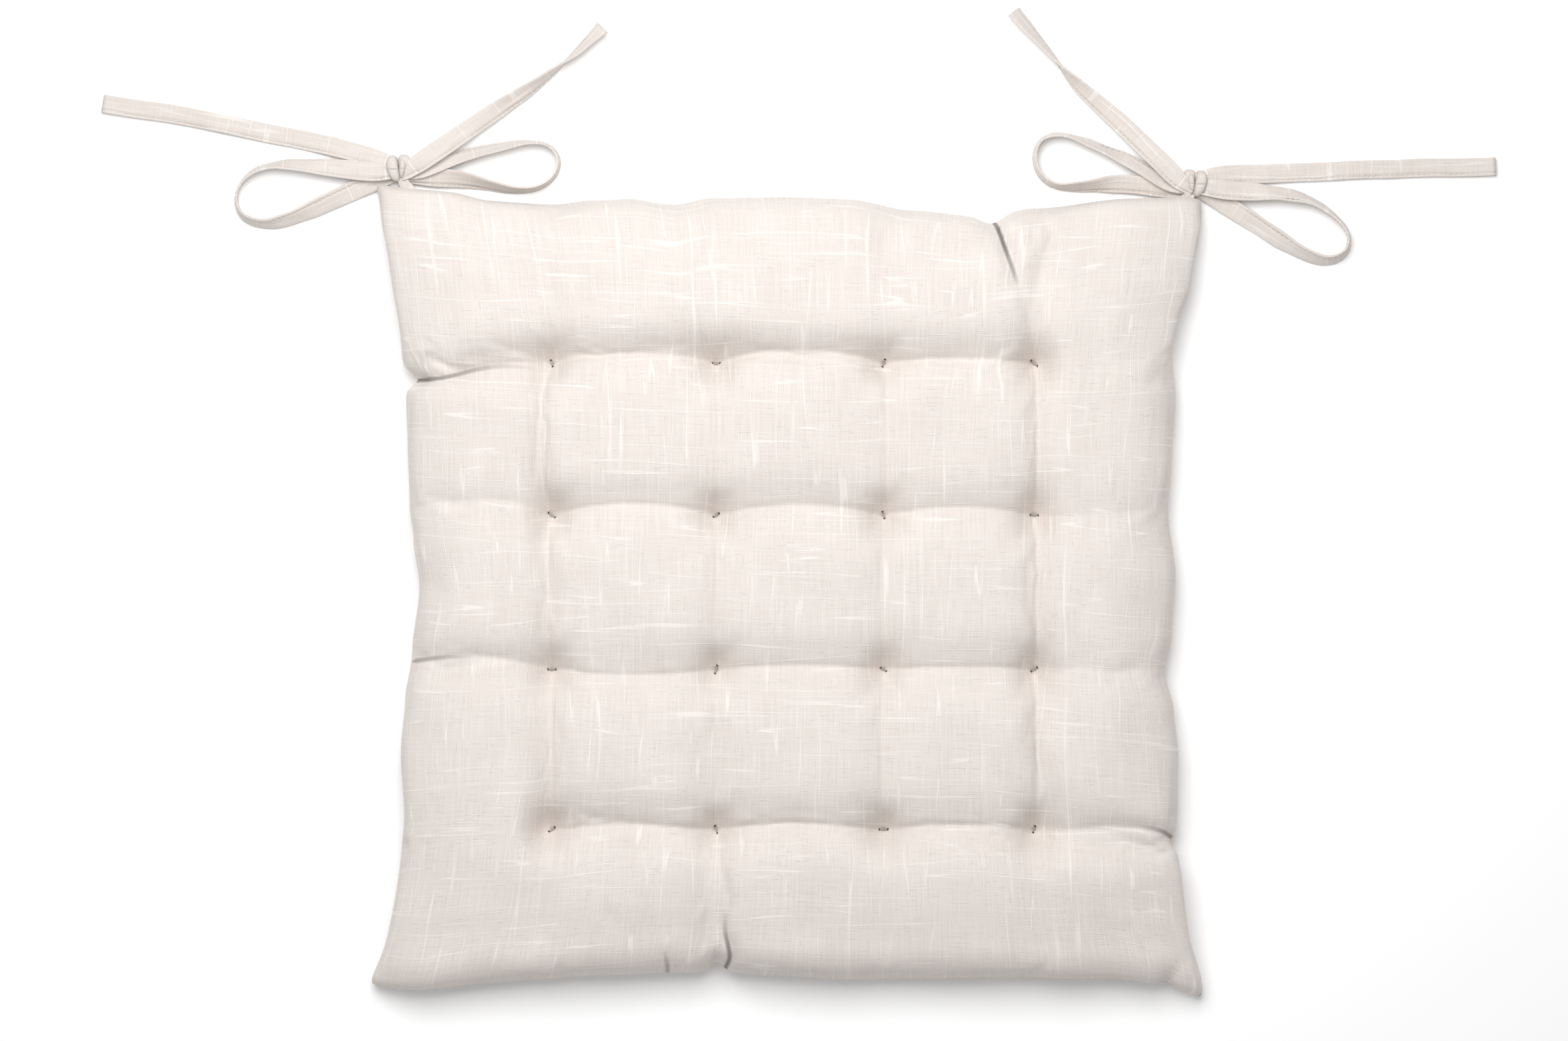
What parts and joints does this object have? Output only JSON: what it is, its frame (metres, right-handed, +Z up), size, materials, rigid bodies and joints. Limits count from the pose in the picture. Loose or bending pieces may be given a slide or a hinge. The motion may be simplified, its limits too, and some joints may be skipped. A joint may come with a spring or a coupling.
{
  "type": "chair seat pad",
  "caption": "Square tufted fabric seat pad for a chair, filled with soft fibre, with a tie ribbon knotted in a bow at each back corner.",
  "frame": {"origin": "centre of the pad's own box, without the ties, on the plane its underside rests on", "axes": "+X to the sitter's right, +Y to the chair's back where the ties are, +Z up"},
  "size_m": [0.6675, 0.475, 0.042],
  "materials": {
    "cover_fabric": "undyed slub linen-look weave, matt",
    "tie_fabric": "the same weave, folded into a narrow topstitched ribbon",
    "filling_fibre": "white polyester wadding",
    "sewing_thread": "matt spun thread in the cover's colour",
    "tuft_thread": "strong waxed thread, a little darker than the cover"
  },
  "bodies": {
    "pad": {"top_cover": "cover_fabric", "bottom_cover": "cover_fabric", "filling": "filling_fibre", "seam_allowance": "cover_fabric", "seam_thread": "sewing_thread", "closing_stitch": "sewing_thread", "tuft_1_1": "tuft_thread", "tuft_1_2": "tuft_thread", "tuft_1_3": "tuft_thread", "tuft_1_4": "tuft_thread", "tuft_2_1": "tuft_thread", "tuft_2_2": "tuft_thread", "tuft_2_3": "tuft_thread", "tuft_2_4": "tuft_thread", "tuft_3_1": "tuft_thread", "tuft_3_2": "tuft_thread", "tuft_3_3": "tuft_thread", "tuft_3_4": "tuft_thread", "tuft_4_1": "tuft_thread", "tuft_4_2": "tuft_thread", "tuft_4_3": "tuft_thread", "tuft_4_4": "tuft_thread", "left_tie_root": "tie_fabric", "right_tie_root": "tie_fabric"},
    "left_bow": {"left_knot": "tie_fabric", "left_outer_loop": "tie_fabric", "left_outer_loop_stitch": "sewing_thread", "left_inner_loop": "tie_fabric", "left_inner_loop_stitch": "sewing_thread"},
    "left_outer_tail": {"left_outer_tail": "tie_fabric", "left_outer_tail_stitch": "sewing_thread"},
    "left_inner_tail": {"left_inner_tail": "tie_fabric", "left_inner_tail_stitch": "sewing_thread"},
    "right_bow": {"right_knot": "tie_fabric", "right_outer_loop": "tie_fabric", "right_outer_loop_stitch": "sewing_thread", "right_inner_loop": "tie_fabric", "right_inner_loop_stitch": "sewing_thread"},
    "right_outer_tail": {"right_outer_tail": "tie_fabric", "right_outer_tail_stitch": "sewing_thread"},
    "right_inner_tail": {"right_inner_tail": "tie_fabric", "right_inner_tail_stitch": "sewing_thread"}
  },
  "joints": [
    {"name": "left_bow_swing", "type": "hinge", "parent": "pad", "child": "left_bow", "pos_m": [-0.1794, 0.19184, 0.00958], "axis": [1, 0, 0], "range_deg": [-45, 45]},
    {"name": "left_outer_tail_swing", "type": "hinge", "parent": "left_bow", "child": "left_outer_tail", "pos_m": [-0.192, 0.2052, 0.0006], "axis": [0, 0, 1], "range_deg": [-60, 0]},
    {"name": "left_inner_tail_swing", "type": "hinge", "parent": "left_bow", "child": "left_inner_tail", "pos_m": [-0.1765, 0.204, 0.0006], "axis": [0, 0, 1], "range_deg": [0, 45]},
    {"name": "right_bow_swing", "type": "hinge", "parent": "pad", "child": "right_bow", "pos_m": [0.19, 0.1863, 0.00876], "axis": [1, 0, 0], "range_deg": [-45, 45]},
    {"name": "right_outer_tail_swing", "type": "hinge", "parent": "right_bow", "child": "right_outer_tail", "pos_m": [0.2026, 0.1981, 0.0006], "axis": [0, 0, 1], "range_deg": [0, 65]},
    {"name": "right_inner_tail_swing", "type": "hinge", "parent": "right_bow", "child": "right_inner_tail", "pos_m": [0.1871, 0.1969, 0.0006], "axis": [0, 0, 1], "range_deg": [-38, 0]}
  ]
}
